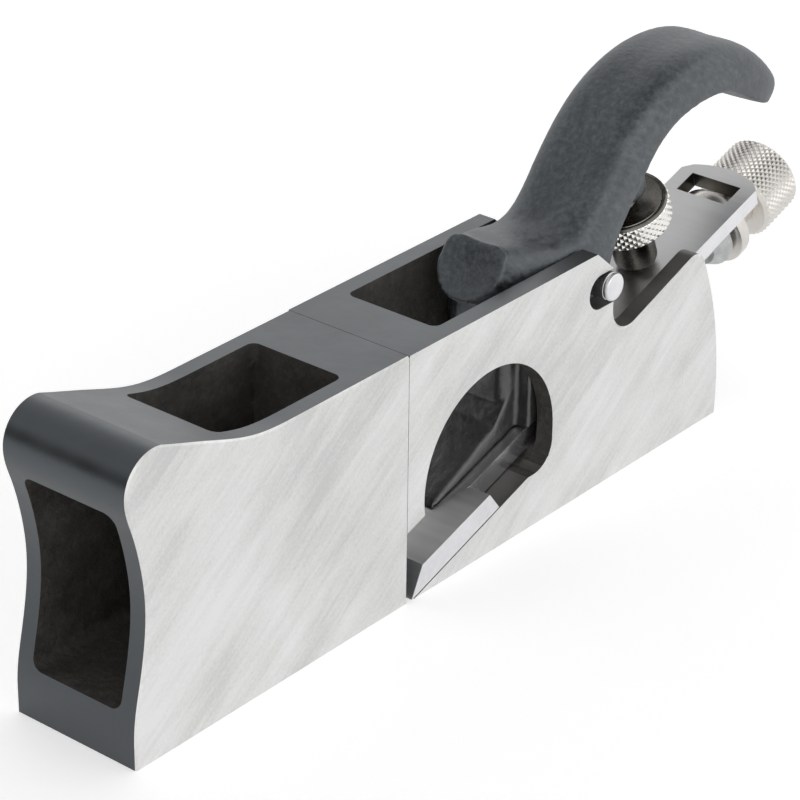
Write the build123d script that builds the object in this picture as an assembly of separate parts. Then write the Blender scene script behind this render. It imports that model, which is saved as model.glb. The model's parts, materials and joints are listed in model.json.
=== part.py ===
from build123d import *
from math import cos, hypot, radians, sin, tan
import os

# Lengths in millimetres, angles in degrees.
# The profiles below use x forward and z up, from the joint between nose and rear body,
# on the sole. save() moves everything so that the origin is the middle of the sole.

# Driving dimensions of the whole plane
BODY_WIDTH = 25.4
SOLE_LENGTH = 152.4
REAR_LENGTH = 88.8
BODY_HEIGHT = 45.5
CHEEK_WALL = 3.35
EDGE_BREAK = 0.3
RUNNING_CLEARANCE = 0.1
FIT_CLEARANCE = 0.02
BODY_GAP = 0.25
JOINT_GAP = 0.1

HALF_WIDTH = BODY_WIDTH / 2
CAVITY_HALF = HALF_WIDTH - CHEEK_WALL
NOSE_LENGTH = SOLE_LENGTH - REAR_LENGTH
SOLE_MIDDLE = NOSE_LENGTH - SOLE_LENGTH / 2

# Bed, mouth and escapement
BED_ANGLE = 18.4
BED_START = 2.0
THROAT_HEIGHT = 13.2
ESCAPEMENT_RADIUS = 17.2
ESCAPEMENT_CENTRE = (-21.5, 17.5)
ESCAPEMENT_FLOOR = 10.05
ESCAPEMENT_CORNER = 5.0
FRONT_WALL = 10.5
OPENING_CORNER = 1.5

# Pin slot and finger notch in the cheeks
SLOT_RADIUS = 3.2
SLOT_END = (-51.1, 38.1)
LIP_START = 49.8
LIP_END = 54.6
NOTCH_FRONT = 55.2
NOTCH_CORNER = 5.0
NOTCH_ANGLE = 19.8
NOTCH_LOW_Z = 26.3
HEEL_TOP = (-81.3, 35.7)
HEEL_MIDDLE = (-87.2, 19.5)
HEEL_CORNER = 3.5

# Nose
NOSE_REAR_WALL = 12.3
NOSE_FLOOR = 9.0
NOSE_ROOF = 42.7
NOSE_TOP_OPENING = 41.7
NOSE_UPRIGHT = 4.5
NOSE_HOLLOW = ((62.1, 14.2), (60.35, 26.5), (61.3, 35.4), (62.7, 40.8))
NOSE_BROW = (64.0, 46.4)
NOSE_CREST = (56.2, 52.7)
CREST_RADIUS = 0.6
NOSE_SLOPE_ANGLE = 20.5
NOSE_SLOPE = ((48.0, 49.9), (38.1, 46.6))
NOSE_FLAT_END = 27.5
WINDOW_CORNER = 2.0

# Cutting iron, in the frame of the bed: u rearwards, n up from the bed
BLADE_LIFT = 0.2
TIP_U = -0.53
HEAD_THICKNESS = 4.4
TAIL_THICKNESS = 3.05
BEVEL_ANGLE = 45.5
HEAD_REAR_TOP = 22.3
HEAD_REAR_LOW = 23.7
SHANK_HALF = 8.25
SHANK_ROOT_RADIUS = 1.2
TAIL_U = 112.4
TAIL_SAG = 1.5
TAIL_CLIP = 1.6
BLADE_SLOT_START = 103.5
BLADE_SLOT_END = 108.7
BLADE_SLOT_HALF = 5.3

# Depth adjuster, on an axis parallel to the bed and below it
ADJUSTER_DEPTH = 5.0
SPINDLE_RADIUS = 3.0
SPINDLE_START = 92.0
LUG_RADIUS = 6.2
LUG_START = 99.4
LUG_TAPER = 2.4
LUG_END = 103.2
ARM_START = 70.0
ARM_HALF = 4.4
COLLAR_RADIUS = 7.4
COLLAR_START = 104.2
COLLAR_END = 106.8
NECK_RADIUS = 4.2
ADJUSTER_KNOB_START = 112.4
ADJUSTER_KNOB_END = 122.7
ADJUSTER_KNOB_RADIUS = 7.7
KNOB_CHAMFER = 0.8
BORE_RADIUS = 2.4

# Lever cap: sections from the thumb facet to the tip of the hook, each with its crest
# point, its underside point, its half width and how far its underside is rounded
CAP_HALF = 9.1
FACET_ROUNDING = 6.0
UNDERSIDE_ROUNDING = 0.35
CAP_SECTIONS = (
    ((-33.4, 50.0), (-27.4, 40.8), 6.4, FACET_ROUNDING),
    ((-37.4, 49.0), (-33.4, 38.2), 7.9, 5.0),
    ((-42.4, 47.9), (-40.6, 35.6), 8.9, 2.8),
    ((-47.8, 47.2), (-47.9, 34.2), CAP_HALF, 0.8),
    ((-53.0, 49.2), (-56.0, 35.2), CAP_HALF, UNDERSIDE_ROUNDING),
    ((-57.8, 54.4), (-60.5, 42.5), CAP_HALF, UNDERSIDE_ROUNDING),
    ((-63.2, 60.6), (-65.6, 49.4), CAP_HALF, UNDERSIDE_ROUNDING),
    ((-70.2, 65.9), (-71.0, 55.8), CAP_HALF, UNDERSIDE_ROUNDING),
    ((-78.4, 69.0), (-77.2, 59.6), CAP_HALF, UNDERSIDE_ROUNDING),
    ((-87.2, 69.9), (-84.8, 61.0), CAP_HALF, UNDERSIDE_ROUNDING),
    ((-96.0, 68.5), (-92.6, 60.4), CAP_HALF, UNDERSIDE_ROUNDING),
    ((-104.0, 64.3), (-100.2, 56.9), 8.9, UNDERSIDE_ROUNDING),
    ((-109.8, 59.3), (-106.2, 53.8), 8.0, UNDERSIDE_ROUNDING),
    ((-112.6, 55.9), (-109.8, 52.6), 6.2, UNDERSIDE_ROUNDING),
)
CROWN_SHARE = 0.6
CROWN_LIMIT = 5.6
FACET_CROWN = 2.6
FACET_DISH_RADIUS = 26.0
FACET_DISH_DEPTH = 0.6

# Leg of the lever cap
LEG_HALF = 6.3
LEG_FRONT = ((-36.5, 45.0), (-33.4, 38.0), (-33.4, 21.0), (-31.2, 18.2), (-24.2, 14.6), (-15.6, 10.3))
LEG_REAR = ((-42.5, 34.0), (-48.0, 42.0))
LEG_HEEL_X = -41.0
LEG_SHOULDER_X = -36.6
LEG_SHOULDER_TOP = 40.0
TOE_X = -14.4
TOE_GAP = 0.15
COLUMN_EDGE_RADIUS = 2.4
FOOT_EDGE_RADIUS = 1.3

# Cross pin
PIN_CENTRE = (-53.4, 38.5)
PIN_RADIUS = 2.5
PIN_PROUD = 1.4
PIN_CHAMFER = 0.3
HUB_RADIUS = 5.0

# Clamping screw: its axis starts on the iron and leans forwards
SCREW_FOOT = (-79.8, 29.75)
SCREW_LEAN = 22.0
FOOT_RADIUS = 3.95
FOOT_START = 0.5
FOOT_ROUND = 1.2
KNURL_START = 10.2
KNURL_END = 14.3
KNURL_RADIUS = 8.3
CROWN_TOP = 14.9
CROWN_TOP_RADIUS = 7.9
STUD_RADIUS = 2.5
STUD_START = 3.0
STUD_END = 27.0
BOSS_START = 17.2
BOSS_END = 30.0
BOSS_RADIUS = 4.8

# Fixings of the nose
NOSE_SCREW_Z = 29.5
NOSE_SCREW_RADIUS = 3.0
NOSE_SCREW_REACH = 7.5
SCREW_HEAD_RADIUS = 5.0
SCREW_HEAD_HEIGHT = 6.0
HEX_ACROSS_FLATS = 5.0
HEX_DEPTH = 3.0
WASHER_RADIUS = 6.5
WASHER_THICKNESS = 1.2
DOWEL_RADIUS = 1.5
DOWEL_Z = 38.5
DOWEL_Y = 6.0
DOWEL_HALF_LENGTH = 5.0


ON_BASE = (Align.CENTER, Align.CENTER, Align.MIN)


def across(face, half_width):
    """Solid of a side-view face, the same on both sides of the middle plane."""
    return extrude(face, half_width, dir=(0, 1, 0), both=True)


def xz(point):
    """Point of a side view, in space."""
    return Vector(point[0], 0, point[1])


def side_polygon(points):
    """Side-view face with straight edges."""
    return make_face(Polyline(*[xz(p) for p in points], close=True))


def bed_point(u, n):
    """Side-view point given along the bed and square to it."""
    angle = radians(BED_ANGLE)
    x = -BED_START - u * cos(angle) + n * sin(angle)
    z = u * sin(angle) + n * cos(angle)
    return (x, z)


def bed_plane(u, n):
    """Plane square to the bed direction: its z axis points rearwards along the bed."""
    angle = radians(BED_ANGLE)
    return Plane(origin=xz(bed_point(u, n)), x_dir=(0, 1, 0), z_dir=(-cos(angle), 0, sin(angle)))


def bed_floor():
    """Plane of the bed itself: its x axis points rearwards, its z axis out of the bed."""
    angle = radians(BED_ANGLE)
    return Plane(
        origin=xz(bed_point(0, 0)), x_dir=(-cos(angle), 0, sin(angle)), z_dir=(sin(angle), 0, cos(angle)),
    )


def bar(plane, radius, start, end):
    """Round bar along the axis of a plane."""
    return plane * Pos(0, 0, start) * Cylinder(radius, end - start, align=ON_BASE)


def turned(plane, profile):
    """Solid of revolution about the axis of a plane, from (radius, height) points."""
    points = [Vector(radius, 0, height) for radius, height in profile]
    return plane * revolve(make_face(Polyline(*points, close=True)), Axis.Z)


def axis_plane_y(point):
    """Plane whose axis runs across the body through a side-view point."""
    return Plane(origin=xz(point), x_dir=(1, 0, 0), z_dir=(0, 1, 0))


def axis_plane_x(x, z):
    """Plane whose axis runs forwards through a side-view point."""
    return Plane(origin=(x, 0, z), x_dir=(0, 1, 0), z_dir=(1, 0, 0))


def screw_plane():
    """Plane of the clamping screw: axis upwards and forwards from the iron."""
    lean = radians(SCREW_LEAN)
    return Plane(origin=xz(SCREW_FOOT), x_dir=(0, 1, 0), z_dir=(sin(lean), 0, cos(lean)))


def break_cheek_edges(body):
    """Small chamfer round the outline of both cheeks, except along the joint, which stays tight."""
    outer = body.edges().filter_by_position(Axis.Y, HALF_WIDTH, HALF_WIDTH)
    outer += body.edges().filter_by_position(Axis.Y, -HALF_WIDTH, -HALF_WIDTH)
    return chamfer([edge for edge in outer if abs(edge.center().X) > JOINT_GAP], EDGE_BREAK)


# ---- rear body ----

def rear_outline():
    """Side view of the rear body without its slots."""
    flank = tan(radians(NOTCH_ANGLE))
    flank_top = (HEEL_TOP[0], NOTCH_LOW_Z + flank * (-HEEL_TOP[0] - NOTCH_FRONT))
    lines = Polyline(
        xz((-REAR_LENGTH, 0)), xz((0, 0)), xz((0, BODY_HEIGHT)), xz((-LIP_START, BODY_HEIGHT)),
        xz((-LIP_END, SLOT_END[1] + SLOT_RADIUS)), xz((-NOTCH_FRONT, SLOT_END[1])),
        xz((-NOTCH_FRONT, NOTCH_LOW_Z)), xz(flank_top),
    )
    heel = ThreePointArc(xz(flank_top), xz(HEEL_MIDDLE), xz((-REAR_LENGTH, 0)))
    face = make_face(lines + heel)
    corners = face.vertices()
    notch = corners.sort_by_distance(xz((-NOTCH_FRONT, NOTCH_LOW_Z)))[0]
    face = fillet(notch, NOTCH_CORNER)
    heel_corner = face.vertices().sort_by_distance(xz(flank_top))[0]
    return fillet(heel_corner, HEEL_CORNER)


def escapement():
    """D-shaped opening through both cheeks, joined to the throat above the iron."""
    centre_x, centre_z = ESCAPEMENT_CENTRE
    rear = centre_x - ESCAPEMENT_RADIUS
    front = centre_x + ESCAPEMENT_RADIUS
    floor = ESCAPEMENT_FLOOR
    pocket_front = -BED_START - floor / tan(radians(BED_ANGLE))
    pocket = side_polygon([
        (rear, floor), (pocket_front, floor), (pocket_front, centre_z), (rear, centre_z),
    ])
    corner = pocket.vertices().sort_by_distance(xz((rear, floor)))[0]
    pocket = across(fillet(corner, ESCAPEMENT_CORNER), HALF_WIDTH + 1)
    dome = bar(axis_plane_y(ESCAPEMENT_CENTRE), ESCAPEMENT_RADIUS, -HALF_WIDTH - 1, HALF_WIDTH + 1)
    rise = tan(radians(BED_ANGLE))
    throat = side_polygon([
        (1, -(BED_START + 1) * rise), (centre_x, -(centre_x + BED_START) * rise),
        (centre_x, centre_z), (front, THROAT_HEIGHT - front * rise), (1, THROAT_HEIGHT - rise),
    ])
    return across(throat, HALF_WIDTH + 1) + dome - below_bed() + pocket


def below_bed():
    """Everything under the bed plane."""
    reach = SOLE_LENGTH
    return across(side_polygon([
        bed_point(-reach, 0), bed_point(reach, 0), bed_point(reach, -reach), bed_point(-reach, -reach),
    ]), BODY_WIDTH)


def make_rear_body():
    body = break_cheek_edges(across(rear_outline(), HALF_WIDTH))
    body -= escapement()
    slot_reach = NOTCH_FRONT + SLOT_END[0] + 1
    slot = bar(axis_plane_y(SLOT_END), SLOT_RADIUS, -BODY_WIDTH, BODY_WIDTH)
    slot += Pos(SLOT_END[0], 0, SLOT_END[1]) * Box(
        slot_reach, 2 * BODY_WIDTH, 2 * SLOT_RADIUS, align=(Align.MAX, Align.CENTER, Align.CENTER)
    )
    body -= slot
    well = Pos(-FRONT_WALL, 0, 0) * Box(
        SOLE_LENGTH, 2 * CAVITY_HALF, 2 * BODY_HEIGHT, align=(Align.MAX, Align.CENTER, Align.MIN)
    )
    well = fillet(well.edges().filter_by(Axis.Z), OPENING_CORNER)
    body -= well - below_bed()
    body += adjuster_lug() & below_bed()
    body -= bar(adjuster_plane(), SPINDLE_RADIUS + RUNNING_CLEARANCE, SPINDLE_START - 1, LUG_END + 1)
    body -= nose_screw_hole(NOSE_SCREW_RADIUS + RUNNING_CLEARANCE)
    return body - dowel_holes(DOWEL_RADIUS + FIT_CLEARANCE, -1)


def adjuster_lug():
    """Round lug for the thread of the adjuster, on a slim arm from the heel."""
    lug = turned(adjuster_plane(), [
        (0, LUG_START), (ARM_HALF, LUG_START), (LUG_RADIUS, LUG_START + LUG_TAPER),
        (LUG_RADIUS, LUG_END - EDGE_BREAK), (LUG_RADIUS - EDGE_BREAK, LUG_END), (0, LUG_END),
    ])
    arm = Box(
        2 * ARM_HALF, ADJUSTER_DEPTH, LUG_START - ARM_START,
        align=(Align.CENTER, Align.MIN, Align.MIN),
    )
    return lug + bed_plane(0, 0) * Pos(0, 0, ARM_START) * arm


def nose_screw_hole(radius):
    """Hole for the nose screw through the joint."""
    return Pos(0, 0, NOSE_SCREW_Z) * Rot(0, 90, 0) * Cylinder(radius, 4 * NOSE_REAR_WALL)


def dowel_holes(radius, side):
    """Blind holes for both dowels, on one side of the joint."""
    depth = DOWEL_HALF_LENGTH + FIT_CLEARANCE
    align = Align.MIN if side > 0 else Align.MAX
    hole = Rot(0, 90, 0) * Cylinder(radius, depth, align=(Align.CENTER, Align.CENTER, align))
    return Pos(0, DOWEL_Y, DOWEL_Z) * hole + Pos(0, -DOWEL_Y, DOWEL_Z) * hole


# ---- nose ----

def nose_outline():
    """Side view of the nose: hollow front, rounded brow up to a crest, slope behind it."""
    sole = Polyline(
        xz((JOINT_GAP, BODY_HEIGHT)), xz((JOINT_GAP, 0)),
        xz((NOSE_LENGTH, 0)), xz((NOSE_LENGTH, NOSE_UPRIGHT)),
    )
    front = Spline(
        xz((NOSE_LENGTH, NOSE_UPRIGHT)), *[xz(p) for p in NOSE_HOLLOW], xz(NOSE_BROW),
        tangents=[(0, 0, 1), (0, 0, 1)],
    )
    brow = TangentArc(xz(NOSE_BROW), xz(NOSE_CREST), tangent=(0, 0, 1))
    downhill = radians(NOSE_SLOPE_ANGLE)
    slope = Spline(
        xz(NOSE_CREST), *[xz(p) for p in NOSE_SLOPE], xz((NOSE_FLAT_END, BODY_HEIGHT)),
        tangents=[(-cos(downhill), 0, -sin(downhill)), (-1, 0, 0)],
    )
    flat = Line(xz((NOSE_FLAT_END, BODY_HEIGHT)), xz((JOINT_GAP, BODY_HEIGHT)))
    face = make_face(sole + front + brow + slope + flat)
    crest = face.vertices().sort_by_distance(xz(NOSE_CREST))[0]
    return fillet(crest, CREST_RADIUS)


def make_nose_body():
    body = break_cheek_edges(across(nose_outline(), HALF_WIDTH))
    window = Pos(NOSE_REAR_WALL, 0, NOSE_FLOOR) * Box(
        NOSE_LENGTH, 2 * CAVITY_HALF, NOSE_ROOF - NOSE_FLOOR, align=(Align.MIN, Align.CENTER, Align.MIN)
    )
    window = fillet(window.edges().filter_by(Axis.X), WINDOW_CORNER)
    hatch_length = NOSE_TOP_OPENING - NOSE_REAR_WALL
    hatch = Pos(NOSE_REAR_WALL, 0, NOSE_FLOOR + WINDOW_CORNER) * Box(
        hatch_length, 2 * CAVITY_HALF, BODY_HEIGHT, align=(Align.MIN, Align.CENTER, Align.MIN)
    )
    hatch = fillet(hatch.edges().filter_by(Axis.Z), OPENING_CORNER)
    body -= window + hatch
    body -= nose_screw_hole(NOSE_SCREW_RADIUS + BODY_GAP)
    body -= dowel_holes(DOWEL_RADIUS + RUNNING_CLEARANCE, 1)
    return body


def make_nose_screw():
    seat = NOSE_REAR_WALL + WASHER_THICKNESS + FIT_CLEARANCE
    plane = axis_plane_x(0, NOSE_SCREW_Z)
    shank = bar(plane, NOSE_SCREW_RADIUS, -NOSE_SCREW_REACH, seat)
    head = bar(plane, SCREW_HEAD_RADIUS, seat, seat + SCREW_HEAD_HEIGHT)
    head = chamfer(head.edges().sort_by(Axis.X)[-1], EDGE_BREAK)
    hexagon = RegularPolygon(HEX_ACROSS_FLATS / 2, 6, major_radius=False)
    socket_floor = axis_plane_x(seat + SCREW_HEAD_HEIGHT - HEX_DEPTH, NOSE_SCREW_Z)
    return shank + head - extrude(socket_floor * hexagon, HEX_DEPTH + 1)


def make_nose_washer():
    plane = axis_plane_x(NOSE_REAR_WALL + FIT_CLEARANCE / 2, NOSE_SCREW_Z)
    disc = bar(plane, WASHER_RADIUS, 0, WASHER_THICKNESS)
    return disc - bar(plane, NOSE_SCREW_RADIUS + BODY_GAP, -1, WASHER_THICKNESS + 1)


def make_dowel(side):
    dowel = Rot(0, 90, 0) * Cylinder(DOWEL_RADIUS, 2 * DOWEL_HALF_LENGTH - 2 * FIT_CLEARANCE)
    dowel = chamfer(dowel.edges().filter_by(GeomType.CIRCLE), EDGE_BREAK)
    return Pos(0, side * DOWEL_Y, DOWEL_Z) * dowel


# ---- cutting iron ----

def make_blade():
    tip = (TIP_U, BLADE_LIFT)
    bevel_run = HEAD_THICKNESS / tan(radians(BEVEL_ANGLE))
    taper = (HEAD_THICKNESS - TAIL_THICKNESS) / TAIL_U

    def top(u):
        return BLADE_LIFT + HEAD_THICKNESS - taper * u

    head = [
        tip, (HEAD_REAR_LOW, BLADE_LIFT), (HEAD_REAR_TOP, top(HEAD_REAR_TOP)),
        (TIP_U + bevel_run, BLADE_LIFT + HEAD_THICKNESS),
    ]
    head_solid = across(side_polygon([bed_point(*p) for p in head]), HALF_WIDTH)
    shank = [
        (HEAD_REAR_TOP / 2, BLADE_LIFT), (TAIL_U + TAIL_SAG, BLADE_LIFT),
        (TAIL_U + TAIL_SAG, top(TAIL_U)), (HEAD_REAR_TOP / 2, top(HEAD_REAR_TOP / 2)),
    ]
    shank_solid = across(side_polygon([bed_point(*p) for p in shank]), HALF_WIDTH)
    floor = bed_floor()
    corner_u = TAIL_U - TAIL_SAG
    sides = Polyline(
        (corner_u, SHANK_HALF - TAIL_CLIP), (corner_u - TAIL_CLIP, SHANK_HALF), (0, SHANK_HALF),
        (0, -SHANK_HALF), (corner_u - TAIL_CLIP, -SHANK_HALF), (corner_u, -SHANK_HALF + TAIL_CLIP),
    )
    end = ThreePointArc(
        (corner_u, -SHANK_HALF + TAIL_CLIP), (TAIL_U, 0), (corner_u, SHANK_HALF - TAIL_CLIP),
    )
    plan = extrude(floor * make_face(sides + end), 2 * HEAD_THICKNESS)
    blade = head_solid + (shank_solid & plan)
    slot_length = BLADE_SLOT_END - BLADE_SLOT_START
    slot = floor * Pos(BLADE_SLOT_START + slot_length / 2, 0, 0) * Box(
        slot_length, 2 * BLADE_SLOT_HALF, 4 * HEAD_THICKNESS
    )
    return blade - slot


# ---- depth adjuster ----

def adjuster_plane():
    return bed_plane(0, -ADJUSTER_DEPTH)


def make_adjuster_spindle():
    plane = adjuster_plane()
    thread = turned(plane, [
        (0, SPINDLE_START), (SPINDLE_RADIUS - KNOB_CHAMFER, SPINDLE_START),
        (SPINDLE_RADIUS, SPINDLE_START + KNOB_CHAMFER), (SPINDLE_RADIUS, COLLAR_START - FIT_CLEARANCE),
        (BORE_RADIUS, COLLAR_START - FIT_CLEARANCE), (BORE_RADIUS, ADJUSTER_KNOB_END - KNOB_CHAMFER),
        (0, ADJUSTER_KNOB_END - KNOB_CHAMFER),
    ])
    return thread


def make_adjuster_collar():
    plane = adjuster_plane()
    bore = BORE_RADIUS + FIT_CLEARANCE
    neck_end = ADJUSTER_KNOB_START - FIT_CLEARANCE
    return turned(plane, [
        (bore, COLLAR_START), (COLLAR_RADIUS - EDGE_BREAK, COLLAR_START),
        (COLLAR_RADIUS, COLLAR_START + EDGE_BREAK), (COLLAR_RADIUS, COLLAR_END - EDGE_BREAK),
        (COLLAR_RADIUS - EDGE_BREAK, COLLAR_END), (NECK_RADIUS, COLLAR_END),
        (NECK_RADIUS, neck_end), (bore, neck_end),
    ])


def make_adjuster_knob():
    plane = adjuster_plane()
    bore = BORE_RADIUS + FIT_CLEARANCE
    rim = ADJUSTER_KNOB_RADIUS - KNOB_CHAMFER
    return turned(plane, [
        (bore, ADJUSTER_KNOB_START), (rim, ADJUSTER_KNOB_START),
        (ADJUSTER_KNOB_RADIUS, ADJUSTER_KNOB_START + KNOB_CHAMFER),
        (ADJUSTER_KNOB_RADIUS, ADJUSTER_KNOB_END - KNOB_CHAMFER),
        (rim, ADJUSTER_KNOB_END), (bore, ADJUSTER_KNOB_END),
    ])


# ---- lever cap ----

def cap_section(crest, underside, half, rounding, crown=CROWN_LIMIT):
    """Cross-section of the cap: domed top, flat sides, underside rounded by a given height."""
    up = xz(crest) - xz(underside)
    height = up.length
    side_top = height - min(CROWN_SHARE * height, crown)
    plane = Plane(origin=xz(underside), x_dir=(0, 1, 0), z_dir=Vector(0, 1, 0).cross(up))
    dome = Spline((half, side_top), (0, height), (-half, side_top), tangents=[(0, 1), (0, -1)])
    bottom = ThreePointArc((-half, rounding), (0, 0), (half, rounding))
    sides = Line((-half, side_top), (-half, rounding)) + Line((half, rounding), (half, side_top))
    return plane * make_face(dome + bottom + sides)


def cap_bar():
    """Bar of the cap, from the thumb facet through the hook to its bill."""
    facet = cap_section(*CAP_SECTIONS[0], crown=FACET_CROWN)
    return loft([facet, *[cap_section(*section) for section in CAP_SECTIONS[1:]]])


def cap_leg():
    """Leg of the cap, down from the thumb facet and forwards to its toe on the iron."""
    outline = [*LEG_FRONT, above_iron(TOE_X), above_iron(LEG_HEEL_X), *LEG_REAR]
    leg = across(side_polygon(outline), LEG_HALF)
    leg = fillet(long_edges(leg, LEG_FRONT[1], LEG_FRONT[2]), COLUMN_EDGE_RADIUS)
    leg = fillet(long_edges(leg, LEG_FRONT[3], LEG_FRONT[4]), FOOT_EDGE_RADIUS)
    shoulder = across(side_polygon([
        above_iron(LEG_SHOULDER_X), (LEG_SHOULDER_X, LEG_SHOULDER_TOP), LEG_REAR[-1], LEG_REAR[0],
        above_iron(LEG_HEEL_X),
    ]), CAP_HALF)
    return leg + shoulder


def above_iron(x):
    """Side-view point just clear of the top of the iron."""
    return (x, blade_top_z(x) + TOE_GAP)


def long_edges(solid, start, end):
    """Edges on both flanks of a solid that run between two side-view points."""
    middle = (xz(start) + xz(end)) / 2
    return [
        edge for edge in solid.edges()
        if hypot(edge.center().X - middle.X, edge.center().Z - middle.Z) < FIT_CLEARANCE
    ]


def blade_top_z(x):
    """Height of the top of the iron at a forward position."""
    angle = radians(BED_ANGLE)
    taper = (HEAD_THICKNESS - TAIL_THICKNESS) / TAIL_U
    u = (-x - BED_START) / cos(angle)
    n = BLADE_LIFT + HEAD_THICKNESS - taper * u
    return (-x - BED_START) * tan(angle) + n / cos(angle)


def make_lever_cap():
    hub = bar(axis_plane_y(PIN_CENTRE), HUB_RADIUS, -CAP_HALF, CAP_HALF)
    boss = bar(screw_plane(), BOSS_RADIUS, BOSS_START, BOSS_END)
    cap = cap_bar() + cap_leg() + hub + boss
    facet_top, facet_bottom = (xz(point) for point in CAP_SECTIONS[0][:2])
    facet_middle = (facet_top + facet_bottom) / 2
    outwards = Vector(0, 1, 0).cross(facet_top - facet_bottom).normalized()
    dish_centre = facet_middle + outwards * (FACET_DISH_RADIUS - FACET_DISH_DEPTH)
    cap -= Pos(*dish_centre) * Sphere(FACET_DISH_RADIUS)
    cap -= bar(axis_plane_y(PIN_CENTRE), PIN_RADIUS + FIT_CLEARANCE, -BODY_WIDTH, BODY_WIDTH)
    return cap - bar(screw_plane(), STUD_RADIUS + RUNNING_CLEARANCE, 0, STUD_END + 3)


def make_lever_cap_pin():
    half = HALF_WIDTH + PIN_PROUD
    pin = bar(axis_plane_y(PIN_CENTRE), PIN_RADIUS, -half, half)
    return chamfer(pin.edges().filter_by(GeomType.CIRCLE), PIN_CHAMFER)


# ---- clamping screw ----

def make_cap_screw_stud():
    plane = screw_plane()
    return turned(plane, [
        (0, STUD_START), (STUD_RADIUS, STUD_START), (STUD_RADIUS, STUD_END - KNOB_CHAMFER),
        (STUD_RADIUS - KNOB_CHAMFER, STUD_END), (0, STUD_END),
    ])


def make_cap_screw_knob():
    plane = screw_plane()
    knob = turned(plane, [
        (0, FOOT_START), (FOOT_RADIUS - FOOT_ROUND, FOOT_START), (FOOT_RADIUS, FOOT_START + FOOT_ROUND),
        (FOOT_RADIUS, KNURL_START), (KNURL_RADIUS - EDGE_BREAK, KNURL_START),
        (KNURL_RADIUS, KNURL_START + EDGE_BREAK), (KNURL_RADIUS, KNURL_END - EDGE_BREAK),
        (KNURL_RADIUS - EDGE_BREAK, KNURL_END), (CROWN_TOP_RADIUS, CROWN_TOP), (0, CROWN_TOP),
    ])
    bore = STUD_RADIUS + RUNNING_CLEARANCE / 2
    return knob - bar(plane, bore, STUD_START - RUNNING_CLEARANCE, STUD_END)


def save(part, name):
    """Move a finished part to the frame of the plane and write it."""
    export_step(Pos(-SOLE_MIDDLE, 0, 0) * part, f"parts/{name}.step")


os.makedirs("parts", exist_ok=True)
save(make_rear_body(), "rear_body")
save(make_nose_body(), "nose_body")
save(make_nose_screw(), "nose_screw")
save(make_nose_washer(), "nose_washer")
save(make_dowel(1), "dowel_pin_left")
save(make_dowel(-1), "dowel_pin_right")
save(make_blade(), "blade")
save(make_adjuster_spindle(), "adjuster_spindle")
save(make_adjuster_collar(), "adjuster_collar")
save(make_adjuster_knob(), "adjuster_knob")
save(make_lever_cap(), "lever_cap")
save(make_lever_cap_pin(), "lever_cap_pin")
save(make_cap_screw_stud(), "cap_screw_stud")
save(make_cap_screw_knob(), "cap_screw_knob")
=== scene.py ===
import json
from collections import namedtuple
from math import cos, hypot, pi, radians, sin

import bmesh
import bpy
from mathutils import Matrix, Quaternion, Vector, noise


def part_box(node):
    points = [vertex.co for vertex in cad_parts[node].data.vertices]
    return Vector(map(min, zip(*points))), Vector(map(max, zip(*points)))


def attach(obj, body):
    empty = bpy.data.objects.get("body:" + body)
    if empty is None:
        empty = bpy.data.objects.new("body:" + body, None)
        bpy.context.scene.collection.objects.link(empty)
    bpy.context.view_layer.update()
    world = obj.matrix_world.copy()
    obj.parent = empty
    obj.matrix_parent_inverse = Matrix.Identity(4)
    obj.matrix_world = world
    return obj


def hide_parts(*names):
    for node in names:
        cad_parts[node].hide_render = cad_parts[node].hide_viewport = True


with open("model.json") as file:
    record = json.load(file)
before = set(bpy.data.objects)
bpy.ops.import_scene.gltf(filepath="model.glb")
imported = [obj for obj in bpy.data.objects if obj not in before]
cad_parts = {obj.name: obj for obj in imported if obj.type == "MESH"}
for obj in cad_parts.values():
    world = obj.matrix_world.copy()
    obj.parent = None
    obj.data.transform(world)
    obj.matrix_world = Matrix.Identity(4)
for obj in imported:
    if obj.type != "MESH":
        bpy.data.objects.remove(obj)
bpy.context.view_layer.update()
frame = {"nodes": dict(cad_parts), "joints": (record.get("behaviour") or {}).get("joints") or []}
joints = {joint["name"]: joint for joint in frame["joints"]}

# Lengths named below are in millimetres, and MM turns them into the frame's metres.
MM = 0.001

# Camera at the photograph's viewing angle, in metres and degrees, with its lens in millimetres
CAMERA_POSITION = (0.35297, 0.28917, 0.26819)
CAMERA_AZIMUTH = 39.277
CAMERA_ELEVATION = 27.727
CAMERA_ROLL = 0.730
CAMERA_LENS = 140.85
SENSOR_WIDTH = 36.0

# Studio, in metres and watts
FLOOR_HALF = 3.0
FLOOR_COLOUR = (0.86, 0.86, 0.86, 1)
FLOOR_GLOW = 0.42
FLOOR_GLOW_REFLECTED = 0.26
WORLD_STRENGTH = 1.5
DARK_SIDE = (0.80, -0.55, -0.12)
BRIGHTNESS_BY_HEIGHT = [
    (0.0, 0.6), (0.2, 0.66), (0.38, 0.92), (0.52, 0.88), (0.66, 0.38), (0.78, 0.4), (1.0, 0.2),
]
SHADE_TOWARDS_DARK_SIDE = [(0.2, 1.0), (0.6, 0.8), (0.78, 0.5), (0.85, 0.24), (0.91, 0.05), (1.0, 0.02)]
SIDE_BOX_PLACE = (0.1, 0.9, 0.5)
SIDE_BOX_TARGET = (0, 0, 0.03)
SIDE_BOX_SIZE = (0.9, 0.7)
SIDE_BOX_POWER = 0.6

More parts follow.
